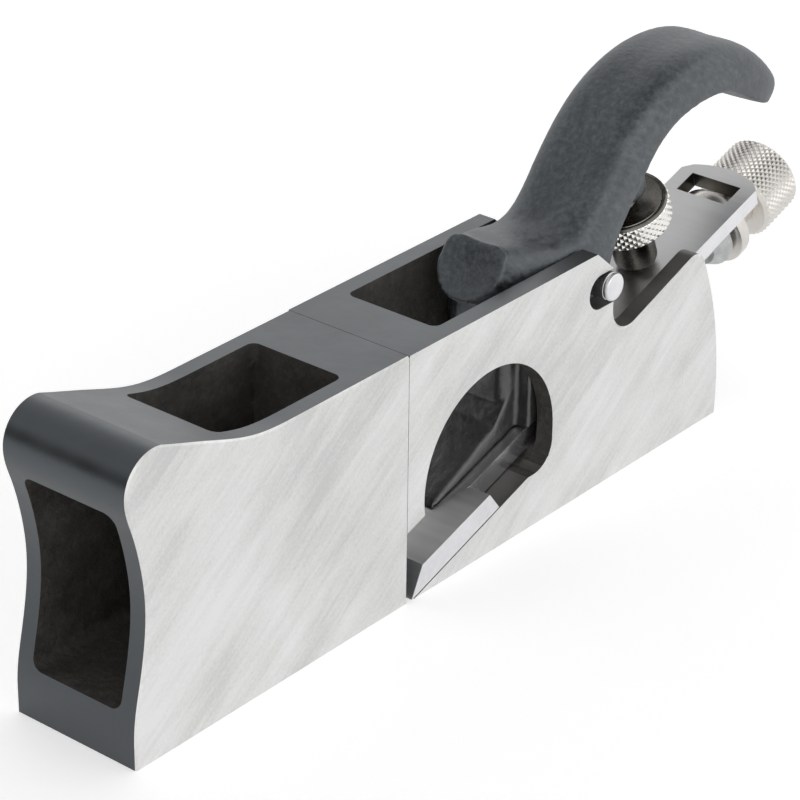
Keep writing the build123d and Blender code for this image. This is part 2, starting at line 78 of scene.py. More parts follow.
# Shape details
EDGE_RADIUS = 0.16
BLADE_EDGE_RADIUS = 0.06
SHARP_EDGE = radians(50)
CREASE = radians(15)
TURNED_CREASE = radians(24)
FLAT_ENOUGH = radians(0.4)
MERGE_DISTANCE = 0.001
AREA_WEIGHT = 100
KNURL_DEPTH = 0.3
KNURL_FLAT = 0.14
KNURL_STEPS = 10
CAP_KNURL_COUNT = 36
ADJUSTER_KNURL_COUNT = 39
THREAD_STEPS = 8
THREAD_CHAMFER = 0.7
END_GAP = 0.05
CAP_THREAD_PITCH = 0.8
ADJUSTER_THREAD_PITCH = 1.0
NOSE_THREAD_PITCH = 1.0
SMOOTH_COLUMNS = 96


# ---- node materials ----

class Graph:
    """A node tree with short ways to add nodes, links and colour ramps."""

    def __init__(self, tree):
        self.tree = tree

    def node(self, kind, **settings):
        made = self.tree.nodes.new(kind)
        for key, value in settings.items():
            setattr(made, key, value)
        return made

    def link(self, output, entry):
        self.tree.links.new(output, entry)

    def ramp(self, value, stops):
        """Colour ramp over (position, colour or brightness) stops."""
        made = self.node("ShaderNodeValToRGB")
        elements = made.color_ramp.elements
        while len(elements) < len(stops):
            elements.new(0.5)
        for element, (position, colour) in zip(elements, stops):
            element.position = position
            element.color = colour if hasattr(colour, "__len__") else (colour, colour, colour, 1)
        self.link(value, made.inputs["Fac"])
        return made.outputs["Color"]


class Shader(Graph):
    """A material with one Principled shader, whose patterns live in the object's own coordinates."""

    def __init__(self, name, **values):
        self.material = bpy.data.materials.new(name)
        self.material.use_nodes = True
        super().__init__(self.material.node_tree)
        self.principled = self.tree.nodes["Principled BSDF"]
        self.place = self.node("ShaderNodeTexCoord").outputs["Object"]
        for socket, value in values.items():
            self.principled.inputs[socket.replace("_", " ")].default_value = value

    def noise(self, scale, detail=4.0, roughness=0.55, stretch=(1, 1, 1), turn=(0, 0, 0)):
        """Noise from 0 to 1 with features of about 1 / scale metres, turned and then stretched."""
        turned = self.node("ShaderNodeVectorRotate", rotation_type="EULER_XYZ")
        turned.inputs["Rotation"].default_value = [radians(angle) for angle in turn]
        self.link(self.place, turned.inputs["Vector"])
        mapped = self.node("ShaderNodeVectorMath", operation="MULTIPLY")
        mapped.inputs[1].default_value = stretch
        self.link(turned.outputs["Vector"], mapped.inputs[0])
        made = self.node("ShaderNodeTexNoise")
        made.inputs["Scale"].default_value = scale
        made.inputs["Detail"].default_value = detail
        made.inputs["Roughness"].default_value = roughness
        self.link(mapped.outputs["Vector"], made.inputs["Vector"])
        return made.outputs["Fac"]

    def paint(self, entry, value, stops):
        """Colour ramp that feeds an input of the shader."""
        self.link(self.ramp(value, stops), self.principled.inputs[entry])

    def blend(self, first, second, share):
        made = self.node("ShaderNodeMix", data_type="RGBA")
        made.inputs["Factor"].default_value = share
        self.link(first, made.inputs["A"])
        self.link(second, made.inputs["B"])
        return made.outputs["Result"]

    def bump(self, *layers):
        """Bump from (height, depth in millimetres) layers, one after another."""
        normal = None
        for height, depth in layers:
            made = self.node("ShaderNodeBump")
            made.inputs["Distance"].default_value = depth * MM
            self.link(height, made.inputs["Height"])
            if normal:
                self.link(normal, made.inputs["Normal"])
            normal = made.outputs["Normal"]
        self.link(normal, self.principled.inputs["Normal"])


def grey(value, tint=(1, 1, 1)):
    return (value * tint[0], value * tint[1], value * tint[2], 1)


COOL = (0.92, 1.0, 1.07)
WARM = (1.06, 1.0, 0.9)
PALE = (0.98, 1.0, 0.99)
COOL_TINT = (*COOL, 1)
STREAK_TURN = (0, -37, 0)


def ground_iron():
    """Cheeks and sole: surface-ground iron with faint diagonal streaks and cloudy patches."""
    shader = Shader("ground_iron", Metallic=1.0)
    streaks = shader.noise(130, 3, 0.55, stretch=(0.22, 1, 1), turn=STREAK_TURN)
    lines = shader.noise(1300, 3, 0.6, stretch=(0.08, 1, 1), turn=STREAK_TURN)
    grain = shader.noise(1900, 2, 0.5)
    clouds = shader.noise(40, 3, 0.5)
    fine = shader.blend(lines, grain, 0.45)
    both = shader.blend(shader.blend(streaks, fine, 0.5), clouds, 0.3)
    dark, middle, light = grey(0.68, (0.99, 1, 0.985)), grey(0.79, (1, 1, 0.99)), grey(0.87)
    shader.paint("Base Color", both, [(0.4, dark), (0.5, middle), (0.6, light)])
    shader.paint("Roughness", both, [(0.36, 0.52), (0.64, 0.4)])
    shader.bump((fine, 0.018), (streaks, 0.016))
    return shader.material


def grey_paint():
    """Satin grey paint on the outer cast faces."""
    shader = Shader("grey_paint", IOR=1.82, Specular_Tint=COOL_TINT)
    clouds = shader.noise(140, 4, 0.55)
    shader.paint("Base Color", clouds, [(0.3, grey(0.018, COOL)), (0.7, grey(0.024, COOL))])
    shader.paint("Roughness", clouds, [(0.3, 0.3), (0.7, 0.37)])
    shader.bump((shader.noise(420, 3, 0.5), 0.03), (shader.noise(2400, 2, 0.5), 0.008))
    return shader.material


def rough_casting():
    """Unmachined inside of the castings: dark, gritty and dull."""
    shader = Shader("rough_casting", IOR=1.5)
    grit = shader.noise(900, 5, 0.65)
    clouds = shader.noise(160, 3, 0.5)
    both = shader.blend(grit, clouds, 0.4)
    dark, middle, light = grey(0.024, WARM), grey(0.045, WARM), grey(0.085, WARM)
    shader.paint("Base Color", both, [(0.35, dark), (0.55, middle), (0.75, light)])
    shader.paint("Roughness", clouds, [(0.3, 0.55), (0.7, 0.75)])
    shader.bump((clouds, 0.5), (grit, 0.22))
    return shader.material


def milled_edge():
    """Cut walls of the finger notch and pin slots, and the bed: smooth, dark and satin."""
    shader = Shader("milled_edge", IOR=1.75)
    lines = shader.noise(700, 3, 0.5, stretch=(1, 0.1, 1))
    shader.paint("Base Color", lines, [(0.3, grey(0.044, WARM)), (0.7, grey(0.064, WARM))])
    shader.paint("Roughness", lines, [(0.3, 0.34), (0.7, 0.46)])
    shader.bump((lines, 0.02))
    return shader.material


def bare_casting():
    """Lug of the adjuster and foot of the heel: bare iron with a mottled satin skin."""
    shader = Shader("bare_casting", Metallic=1.0)
    mottle = shader.noise(520, 4, 0.6)
    shader.paint("Base Color", mottle, [(0.32, grey(0.5, PALE)), (0.68, grey(0.62, PALE))])
    shader.paint("Roughness", mottle, [(0.3, 0.5), (0.7, 0.4)])
    shader.bump((mottle, 0.03))
    return shader.material


def cap_casting():
    """Lever cap: satin dark paint over a fine cast skin, mottled where it has worn."""
    shader = Shader("cap_casting", IOR=1.86, Specular_Tint=COOL_TINT)
    skin = shader.noise(1500, 4, 0.6)
    worn = shader.noise(900, 5, 0.7, stretch=(0.5, 1, 1), turn=(0, 38, 0))
    clouds = shader.noise(120, 3, 0.5)
    both = shader.blend(worn, clouds, 0.2)
    dark, middle, light = grey(0.010, COOL), grey(0.036, COOL), grey(0.078, COOL)
    shader.paint("Base Color", both, [(0.38, dark), (0.5, middle), (0.62, light)])
    shader.paint("Roughness", worn, [(0.35, 0.36), (0.65, 0.52)])
    shader.bump((clouds, 0.05), (worn, 0.09), (skin, 0.06))
    return shader.material


def shaded_raw_cap_casting():
    """Leg of the lever cap inside the body: darker as painted shade, a little glossier and with a coarser
    skin.
    """
    shader = Shader("shaded_raw_cap_casting", IOR=2.0)
    skin = shader.noise(900, 5, 0.65)
    shader.paint("Base Color", skin, [(0.35, grey(0.004, WARM)), (0.65, grey(0.011, WARM))])
    shader.paint("Roughness", skin, [(0.3, 0.3), (0.7, 0.42)])
    shader.bump((skin, 0.1))
    return shader.material


def steel(name, low, high, dull, scale=420, stretch=(1, 1, 1), depth=0.006, tint=(1, 1, 1)):
    """Bare steel between two grey values, with a (smoothest, dullest) roughness and a fine grain."""
    shader = Shader(name, Metallic=1.0)
    smoothest, dullest = dull
    grain = shader.noise(scale, 4, 0.6, stretch=stretch)
    clouds = shader.noise(130, 3, 0.5)
    both = shader.blend(grain, clouds, 0.5)
    shader.paint("Base Color", both, [(0.35, grey(low, tint)), (0.65, grey(high, tint))])
    shader.paint("Roughness", grain, [(0.3, smoothest), (0.7, dullest)])
    shader.bump((grain, depth))
    return shader.material


ACROSS = (1, 0.06, 1)


# ---- surfaces turned round an axis ----

# A ring of a turned surface: its relief(angle, height) is how far grooves go in, and cut is a chamfer.
Station = namedtuple("Station", "height radius relief cut")
# A cut that never wins over a relief which stands proud, as a hexagon's corners do.
NO_CUT = -1.0


def axis_place(origin, axis):
    """Frame whose z axis runs along an axis of the object."""
    turn = Vector(axis).normalized().to_track_quat("Z", "Y")
    return Matrix.LocRotScale(Vector(origin), turn, None)


def joint_place(joint):
    """Frame whose z axis is the axis of a joint."""
    return axis_place(joint["pos_m"], joint["axis"])


def axis_span(node, place):
    """Lowest and highest height of a CAD node along an axis, in millimetres."""
    inverse = place.inverted()
    heights = [(inverse @ vertex.co).z / MM for vertex in frame["nodes"][node].data.vertices]
    return min(heights), max(heights)


def triangle_wave(value):
    """1 at whole numbers and 0 half-way between them."""
    return abs(2 * (value % 1) - 1)


def diamond_knurl(count, pitch, depth):
    """Crossed V grooves round a cylinder."""
    def relief(angle, height):
        turn = count * angle / (2 * pi)
        groove = max(triangle_wave(turn + height / pitch), triangle_wave(turn - height / pitch))
        return depth * max(0.0, groove - KNURL_FLAT) / (1 - KNURL_FLAT)
    return relief


def straight_knurl(count, depth):
    """V grooves along a cylinder."""
    def relief(angle, height):
        return depth * triangle_wave(count * angle / (2 * pi))
    return relief


def screw_thread(pitch, depth):
    """One V groove wound round a cylinder."""
    def relief(angle, height):
        return depth * triangle_wave(height / pitch - angle / (2 * pi))
    return relief


def hexagon(apothem):
    """Turns a circle of the apothem's radius into a hexagon round it."""
    def relief(angle, height):
        return apothem - apothem / cos((angle + pi / 6) % (pi / 3) - pi / 6)
    return relief


def band(start, end, radius, relief, step, chamfer=0.0):
    """Evenly spaced stations along a cylinder, narrower at chamfered ends."""
    count = max(2, round((end - start) / step))
    stations = []
    for index in range(count + 1):
        height = start + (end - start) * index / count
        from_end = min(height - start, end - height)
        stations.append(Station(height, radius, relief, max(0.0, chamfer - from_end)))
    return stations


def plain(*points):
    """Stations without relief from (height, radius) pairs."""
    return [Station(height, radius, None, 0.0) for height, radius in points]


def ring_radius(station, angle):
    """Radius of a station at an angle, inside its grooves or its chamfer."""
    inside = station.relief(angle, station.height) if station.relief else 0.0
    return station.radius - max(inside, station.cut)


def ring_points(station, place, columns):
    """Points round a station, or one point where it closes on the axis."""
    height = station.height * MM
    if station.radius == 0:
        return [place @ Vector((0, 0, height))]
    points = []
    for column in range(columns):
        angle = 2 * pi * column / columns
        radius = ring_radius(station, angle) * MM
        points.append(place @ Vector((radius * cos(angle), radius * sin(angle), height)))
    return points


def strip_faces(low, high, low_ring, high_ring, columns):
    """Faces between two rings of vertices, either of which may be a single point."""
    faces = []
    for column in range(columns):
        following = (column + 1) % columns
        if len(low_ring) == 1:
            faces.append((low_ring[0], high_ring[following], high_ring[column]))
        elif len(high_ring) == 1:
            faces.append((low_ring[column], low_ring[following], high_ring[0]))
        else:
            corners = (low_ring[column], low_ring[following], high_ring[following], high_ring[column])
            faces += split_on_crease(corners, low, high, column, columns)
    return faces


def turned_mesh(name, place, stations, columns):
    """Closed surface through stations round the z axis of place."""
    vertices, rings, faces = [], [], []
    for station in stations:
        points = ring_points(station, place, columns)
        rings.append(range(len(vertices), len(vertices) + len(points)))
        vertices += points
    for low, high, low_ring, high_ring in zip(stations, stations[1:], rings, rings[1:]):
        faces += strip_faces(low, high, low_ring, high_ring, columns)
    mesh = bpy.data.meshes.new(name)
    mesh.from_pydata(vertices, [], faces)
    return finish_mesh(mesh, TURNED_CREASE)


def split_on_crease(corners, low, high, column, columns):
    """Quad, or two triangles that meet along a groove or ridge that crosses the quad."""
    if not (low.relief and low.relief is high.relief):
        return [corners]
    first = 2 * pi * column / columns
    second = 2 * pi * (column + 1) / columns
    middle = low._replace(height=(low.height + high.height) / 2, cut=min(low.cut, high.cut))
    centre = ring_radius(middle, (first + second) / 2)
    rising = (ring_radius(low, first) + ring_radius(high, second)) / 2
    falling = (ring_radius(low, second) + ring_radius(high, first)) / 2
    a, b, c, d = corners
    if abs(rising - centre) <= abs(falling - centre):
        return [(a, b, c), (a, c, d)]
    return [(a, b, d), (b, c, d)]


def finish_mesh(mesh, crease):
    """Smooth shading with sharp edges above an angle."""
    mesh.update()
    mesh.shade_smooth()
    mesh.set_sharp_from_angle(angle=crease)
    return mesh


def add_piece(name, mesh, node, body, slot, *materials):
    """Piece that stands for a CAD node and moves with its body."""
    piece = bpy.data.objects.new(name, mesh)
    bpy.context.scene.collection.objects.link(piece)
    for material in materials:
        mesh.materials.append(material)
    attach(piece, body)
    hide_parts(node)
    return piece


# ---- clamping screw ----

FOOT_RADIUS = 3.95
FOOT_ROUND = 1.2
FOOT_LENGTH = 9.7
CAP_KNOB_RADIUS = 8.3
CAP_KNURL_LENGTH = 4.1
CROWN_RADIUS = 7.9
CROWN_DISH = 0.55
CROWN_GROOVE = 0.16
UNDERCUT = 0.2
STUD_RADIUS = 2.5
STUD_THREAD_DEPTH = 0.4
STUD_COLUMNS = 40


def foot_profile(low, knurl_start):
    """Rounded foot of the clamping knob, with an undercut below the knurled band."""
    rounded = [
        (low + FOOT_ROUND * (1 - cos(angle)), FOOT_RADIUS - FOOT_ROUND * (1 - sin(angle)))
        for angle in (radians(degrees) for degrees in range(0, 91, 15))
    ]
    neck = FOOT_RADIUS - UNDERCUT
    underside = CAP_KNOB_RADIUS - 2 * KNURL_DEPTH
    return plain(
        (low, 0), *rounded, (knurl_start - 0.5, FOOT_RADIUS), (knurl_start - 0.35, neck),
        (knurl_start - 0.02, neck), (knurl_start - 0.01, underside),
    )


def crown_profile(knurl_end, high):
    """Crown above the knurled band: a rim, a fine turned groove and a shallow dish."""
    groove = high - CROWN_GROOVE
    return plain(
        (knurl_end + 0.05, CAP_KNOB_RADIUS - KNURL_DEPTH), (knurl_end + 0.15, CROWN_RADIUS),
        (high - 0.12, CROWN_RADIUS - 0.05), (high, CROWN_RADIUS - 0.2), (high, CROWN_RADIUS - 0.5),
        (groove, CROWN_RADIUS - 0.6), (groove, CROWN_RADIUS - 0.75), (high - 0.04, CROWN_RADIUS - 0.85),
        (high - CROWN_DISH / 2, CROWN_RADIUS - 2.4), (high - CROWN_DISH, CROWN_RADIUS - 4.4),
        (high - CROWN_DISH, 0),
    )


def make_cap_knob(nickel, painted_reflection_nickel):
    """Foot, knurled band and shallow dished crown of the clamping screw's knob; outside the band a dark
    warm nickel is a painted reflection of the dark lever cap.
    """
    place = joint_place(joints["cap_knob_spin"])
    low, high = axis_span("cap_screw_knob", place)
    knurl_start = low + FOOT_LENGTH
    knurl_end = knurl_start + CAP_KNURL_LENGTH
    pitch = 2 * pi * CAP_KNOB_RADIUS / CAP_KNURL_COUNT
    knurl = diamond_knurl(CAP_KNURL_COUNT, pitch, KNURL_DEPTH)
    stations = foot_profile(low, knurl_start)
    stations += band(knurl_start, knurl_end, CAP_KNOB_RADIUS, knurl, pitch / KNURL_STEPS, KNURL_DEPTH)
    stations += crown_profile(knurl_end, high)
    mesh = turned_mesh("cap_screw_knob_knurled", place, stations, CAP_KNURL_COUNT * KNURL_STEPS)
    piece = add_piece(mesh.name, mesh, "cap_screw_knob", "cap_knob", "cap_screw", nickel, painted_reflection_nickel)
    inverse = place.inverted()
    # Faces outside the knurled band take the dark nickel: a painted reflection of the lever cap over the
    # crown
    for face in mesh.polygons:
        height = (inverse @ face.center).z / MM
        face.material_index = 0 if knurl_start - 0.005 < height < knurl_end + 0.02 else 1
    return piece


def make_cap_stud(metal):
    """Threaded stud of the clamping screw."""
    place = joint_place(joints["cap_knob_spin"])
    low, high = axis_span("cap_screw_stud", place)
    thread = screw_thread(CAP_THREAD_PITCH, STUD_THREAD_DEPTH)
    step = CAP_THREAD_PITCH / THREAD_STEPS
    stations = plain((low, 0), (low, STUD_RADIUS - 0.5))
    stations += band(low + END_GAP, high - END_GAP, STUD_RADIUS, thread, step, THREAD_CHAMFER)
    stations += plain((high, STUD_RADIUS - 0.8), (high, 0))
    mesh = turned_mesh("cap_screw_stud_threaded", place, stations, STUD_COLUMNS)
    return add_piece(mesh.name, mesh, "cap_screw_stud", "cap_screw", "spindle", metal)


# ---- depth adjuster ----

ADJUSTER_RADIUS = 7.7
ADJUSTER_CHAMFER = 0.8
ADJUSTER_DIMPLE = 3.0
SPINDLE_RADIUS = 3.0
SPINDLE_CORE = 2.35
SPINDLE_THREAD_DEPTH = 0.5
SPINDLE_COLUMNS = 48
THREAD_LENGTH = 12.0
SPINDLE_HOLE = 2.5


def make_adjuster_knob(nickel):
    """Knurled knob of the depth adjuster, chamfered at both ends, with a shallow dimple behind."""
    place = joint_place(joints["adjuster_spin"])
    rear, front = axis_span("adjuster_knob", place)
    pitch = 2 * pi * ADJUSTER_RADIUS / ADJUSTER_KNURL_COUNT
    knurl = diamond_knurl(ADJUSTER_KNURL_COUNT, pitch, KNURL_DEPTH)
    step = pitch / KNURL_STEPS
    rim = ADJUSTER_RADIUS - ADJUSTER_CHAMFER
    stations = plain(
        (rear + 0.6, 0), (rear + 0.6, ADJUSTER_DIMPLE - 0.5), (rear + 0.1, ADJUSTER_DIMPLE),
        (rear, ADJUSTER_DIMPLE + 0.15), (rear, rim - 0.1),
    )
    stations += band(rear + 0.01, front - 0.01, ADJUSTER_RADIUS, knurl, step, ADJUSTER_CHAMFER)
    stations += plain(
        (front, rim - 0.1), (front, SPINDLE_HOLE), (front - 0.2, SPINDLE_HOLE - 0.08), (front - 0.2, 0),
    )
    mesh = turned_mesh("adjuster_knob_knurled", place, stations, ADJUSTER_KNURL_COUNT * KNURL_STEPS)
    return add_piece(mesh.name, mesh, "adjuster_knob", "adjuster", "nickel", nickel)


def make_adjuster_spindle(metal):
    """Spindle with its thread towards the lug and a plain core through collar and knob."""
    place = joint_place(joints["adjuster_spin"])
    rear, front = axis_span("adjuster_spindle", place)
    thread = screw_thread(ADJUSTER_THREAD_PITCH, SPINDLE_THREAD_DEPTH)
    step = ADJUSTER_THREAD_PITCH / THREAD_STEPS
    thread_start = front - THREAD_LENGTH
    stations = plain((rear, 0), (rear, SPINDLE_CORE), (thread_start - END_GAP, SPINDLE_CORE))
    stations += band(thread_start, front - END_GAP, SPINDLE_RADIUS, thread, step, THREAD_CHAMFER)
    stations += plain((front, SPINDLE_RADIUS - 0.8), (front, 0))
    mesh = turned_mesh("adjuster_spindle_threaded", place, stations, SPINDLE_COLUMNS)
    return add_piece(mesh.name, mesh, "adjuster_spindle", "adjuster", "spindle", metal)


COLLAR_RADIUS = 7.4
COLLAR_LENGTH = 2.6
COLLAR_EASE = 0.35
NECK_RADIUS = 4.2
BORE_CLEARANCE = 0.05


def make_adjuster_collar(nickel):
    """Collar that catches in the slot of the iron, and the neck behind it."""
    place = joint_place(joints["adjuster_spin"])
    rear, front = axis_span("adjuster_collar", place)
    collar_rear = front - COLLAR_LENGTH
    bore = SPINDLE_CORE + BORE_CLEARANCE
    rim = COLLAR_RADIUS - COLLAR_EASE
    stations = plain(
        (rear, bore), (rear, NECK_RADIUS - 0.1), (rear + 0.1, NECK_RADIUS),
        (collar_rear - 0.6, NECK_RADIUS), (collar_rear - 0.15, NECK_RADIUS + 0.15),
        (collar_rear, NECK_RADIUS + 0.6), (collar_rear, rim), (collar_rear + 0.1, COLLAR_RADIUS - 0.1),
        (collar_rear + COLLAR_EASE, COLLAR_RADIUS), (front - COLLAR_EASE, COLLAR_RADIUS),
        (front - 0.1, COLLAR_RADIUS - 0.1), (front, rim), (front, bore), (rear, bore),
    )
    mesh = turned_mesh("adjuster_collar_turned", place, stations, SMOOTH_COLUMNS)
    merge_points(mesh)
    return add_piece(mesh.name, mesh, "adjuster_collar", "adjuster", "nickel", nickel)


def merge_points(mesh):
    """Joins points that lie on one another."""
    work = bmesh.new()
    work.from_mesh(mesh)
    bmesh.ops.remove_doubles(work, verts=work.verts, dist=MERGE_DISTANCE * MM)
    work.to_mesh(mesh)
    work.free()


# ---- cross pin and nose screw ----

PIN_RIM = 0.45
PIN_RIM_LENGTH = 0.35
PIN_GROOVE = 0.07


def pin_end(half, radius):
    """One end of the cross pin: a centre mark, a rounded rim and a fine groove behind it."""
    profile = [(half - 0.05, 0), (half - 0.05, 0.5), (half, 0.7), (half, radius - PIN_RIM)]
    for angle in (pi / 6, pi / 3, pi / 2):
        height = half - PIN_RIM_LENGTH * (1 - cos(angle))
        profile.append((height, radius - PIN_RIM + PIN_RIM * sin(angle)))
    profile += [(half - 0.75, radius), (half - 0.8, radius - PIN_GROOVE)]
    profile += [(half - 0.95, radius - PIN_GROOVE), (half - 1.0, radius)]
    return profile


def make_pin(side_steel, end_steel):
    """Cross pin of the lever cap, with turned ends and rounded rims."""
    low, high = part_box("lever_cap_pin")
    place = axis_place((low + high) / 2, (0, 1, 0))
    end = pin_end((high.y - low.y) / 2 / MM, (high.z - low.z) / 2 / MM)
    stations = plain(*[(-height, radius) for height, radius in end], *reversed(end))
    mesh = turned_mesh("lever_cap_pin_turned", place, stations, SMOOTH_COLUMNS)
    piece = add_piece(mesh.name, mesh, "lever_cap_pin", "lever_cap", "pin", side_steel, end_steel)
    for face in mesh.polygons:
        face.material_index = 1 if abs(face.normal.y) > 0.8 else 0
    return piece


HEAD_HEIGHT = 6.0
HEAD_RADIUS = 5.0
SOCKET_APOTHEM = 2.5
SOCKET_DEPTH = 3.0
SOCKET_CONE = 0.8
HEAD_KNURL_COUNT = 36
HEAD_KNURL_DEPTH = 0.14
NOSE_SHANK_RADIUS = 3.0
NOSE_SHANK_PLAIN = 6.0
NOSE_THREAD_DEPTH = 0.5
NOSE_SCREW_COLUMNS = 144


def make_nose_screw(metal):
    """Socket cap screw with a knurled head, a hexagon socket and a thread."""
    place = joint_place(joints["nose_screw_spin"])
    low, high = axis_span("nose_screw", place)
    head = high - HEAD_HEIGHT
    floor = high - SOCKET_DEPTH
    thread = screw_thread(NOSE_THREAD_PITCH, NOSE_THREAD_DEPTH)
    step = NOSE_THREAD_PITCH / THREAD_STEPS
    knurl = straight_knurl(HEAD_KNURL_COUNT, HEAD_KNURL_DEPTH)
    socket = hexagon(SOCKET_APOTHEM)
    stations = plain((low, 0), (low, NOSE_SHANK_RADIUS - 0.7))
    stations += band(low + END_GAP, head - NOSE_SHANK_PLAIN, NOSE_SHANK_RADIUS, thread, step, 0.6)
    stations += plain(
        (head - NOSE_SHANK_PLAIN + 0.1, NOSE_SHANK_RADIUS), (head - 0.01, NOSE_SHANK_RADIUS),
        (head, HEAD_RADIUS - 0.3),
    )
    stations += band(head + 0.1, high - 0.9, HEAD_RADIUS, knurl, 1.0, 0.2)
    stations += plain(
        (high - 0.8, HEAD_RADIUS - 0.1), (high - 0.3, HEAD_RADIUS - 0.1), (high, HEAD_RADIUS - 0.5),
        (high, SOCKET_APOTHEM + 0.6),
    )
    stations += [Station(height, SOCKET_APOTHEM, socket, NO_CUT) for height in (high - 0.25, floor)]
    stations += plain((floor - SOCKET_CONE, 0))
    mesh = turned_mesh("nose_screw_socket_head", place, stations, NOSE_SCREW_COLUMNS)
    return add_piece(mesh.name, mesh, "nose_screw", "nose_screw", "black_screw", metal)


# ---- castings and iron, from their CAD shapes with eased edges ----

def eased_mesh(name, node, radius, keep_sharp):
    """Copy of a CAD node with small radii on its sharp edges, except those that keep_sharp picks."""
    work = bmesh.new()
    work.from_mesh(frame["nodes"][node].data)
    bmesh.ops.remove_doubles(work, verts=work.verts, dist=MERGE_DISTANCE * MM)
    bmesh.ops.dissolve_limit(
        work, angle_limit=FLAT_ENOUGH, verts=work.verts, edges=work.edges, delimit={"NORMAL"},
    )
    sharp = [
        edge for edge in work.edges
        if len(edge.link_faces) == 2 and edge.calc_face_angle() > SHARP_EDGE and not keep_sharp(edge)
    ]
    bmesh.ops.bevel(
        work, geom=sharp, offset=radius * MM, segments=2, profile=0.5, affect="EDGES", clamp_overlap=True,
    )
    mesh = bpy.data.meshes.new(name)
    work.to_mesh(mesh)
    work.free()
    return finish_mesh(mesh, CREASE)


def weigh_normals(piece):
    """Large faces keep flat shading beside their eased edges."""
    modifier = piece.modifiers.new("normals", "WEIGHTED_NORMAL")
    modifier.keep_sharp = True
    modifier.weight = AREA_WEIGHT


# Places that tell the finishes apart, in metres
JOINT_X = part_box("nose_body")[0].x
HALF_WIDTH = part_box("nose_body")[1].y
CAVITY_HALF = HALF_WIDTH - 3.35 * MM
BODY_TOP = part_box("rear_body")[1].z
HEEL_X = JOINT_X - 88.9 * MM
HEEL_DEPTH = 9 * MM
HATCH_FRONT = JOINT_X + 41.7 * MM
NOSE_FLOOR = 9.0 * MM
NOSE_ROOF = 42.7 * MM
ESCAPEMENT_X = JOINT_X - 21.5 * MM
ESCAPEMENT_Z = 17.5 * MM
ESCAPEMENT_REACH = 18.7 * MM
HEAD_REAR = JOINT_X - 26 * MM
BLADE_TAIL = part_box("blade")[0].x
BED_NORMAL = Vector(joints["blade_slide"]["axis"]).cross(Vector((0, 1, 0))).normalized()
SLOT_HALF = 5.4 * MM
SLOT_START = 3 * MM
SLOT_END = 9.5 * MM
SKIN = 0.05 * MM
EDGE_BREAK = 0.31 * MM
TOP_EDGE = 0.3 * MM
JOINT_EDGE = 0.15 * MM

GROUND, PAINT, ROUGH, MILLED, BARE = range(5)
# On the iron, the head's top takes a brighter steel as painted light and the slot walls a dark steel as
# painted shade
SATIN, BRIGHT, BEVEL, HEAD_SIDE, LIT_HEAD_TOP, SHADED_SLOT_WALL = range(6)


def is_ground(point, normal):
    """Cheeks with their edge breaks, and the sole."""
    on_cheek = abs(point.y) > HALF_WIDTH - EDGE_BREAK and abs(normal.y) > 0.5
    on_sole = point.z < EDGE_BREAK and normal.z < -0.5
    return on_cheek or on_sole


def in_cavity(point):
    """Between the inner faces of the two cheeks."""
    return abs(point.y) < CAVITY_HALF + SKIN


def at_window_height(point):
    """Between the floor and the roof of the nose's window."""
    return NOSE_FLOOR - SKIN < point.z < NOSE_ROOF + SKIN


def nose_finish(point, normal):
    """Finish of a face of the nose."""
    if is_ground(point, normal):
        return GROUND
    inside = in_cavity(point) and point.x > JOINT_X + SKIN
    window = at_window_height(point) and abs(normal.x) < 0.8
    below_hatch = NOSE_FLOOR - SKIN < point.z and point.x < HATCH_FRONT + SKIN
    wall = below_hatch and abs(normal.z) < 0.5
    return ROUGH if inside and (window or wall) else PAINT


def rear_finish(point, normal):
    """Finish of a face of the rear body."""
    if is_ground(point, normal):
        return GROUND
    if point.x < HEEL_X:
        return BARE
    if normal.x < -0.5 and point.x < HEEL_X + HEEL_DEPTH:
        return PAINT
    if abs(normal.dot(BED_NORMAL)) > 0.99 and normal.z > 0:
        return MILLED
    if point.z >= BODY_TOP - TOP_EDGE:
        return PAINT
    from_escapement = hypot(point.x - ESCAPEMENT_X, point.z - ESCAPEMENT_Z)
    return ROUGH if in_cavity(point) or from_escapement < ESCAPEMENT_REACH else MILLED


def stays_sharp(edge):
    """Edges along the joint, and the rim of the window in the nose."""
    points = [vertex.co for vertex in edge.verts]
    at_joint = all(abs(point.x - JOINT_X) < JOINT_EDGE for point in points)
    at_window = all(
        point.x > HATCH_FRONT + SKIN and in_cavity(point) and at_window_height(point) for point in points
    )
    return at_joint or at_window


def make_casting(name, node, body, finish_of, materials):
    """Body or nose with eased edges, each face in the finish that finish_of gives it."""
    mesh = eased_mesh(name, node, EDGE_RADIUS, stays_sharp)
    for face in mesh.polygons:
        face.material_index = finish_of(face.center, face.normal)
    piece = add_piece(name, mesh, node, body, "casting", *materials)
    weigh_normals(piece)
    return piece


def blade_finish(point, normal):
    """Finish of a face of the iron; the head's top gets a brighter steel as painted light, and the slot
    walls a dark steel as painted shade.
    """
    on_head = point.x > HEAD_REAR
    from_tail = point.x - BLADE_TAIL
    # The head's top takes a brighter steel than the rest of the iron: painted light
    if abs(normal.dot(BED_NORMAL)) > 0.9:
        return LIT_HEAD_TOP if on_head else SATIN
    # The walls of the slot take the dark thread steel: painted shade in the slot
    if abs(point.y) < SLOT_HALF and SLOT_START < from_tail < SLOT_END:
        return SHADED_SLOT_WALL
    if abs(normal.y) > 0.7:
        return HEAD_SIDE if on_head else BRIGHT
    return BEVEL if on_head and normal.x > 0.7 else SATIN


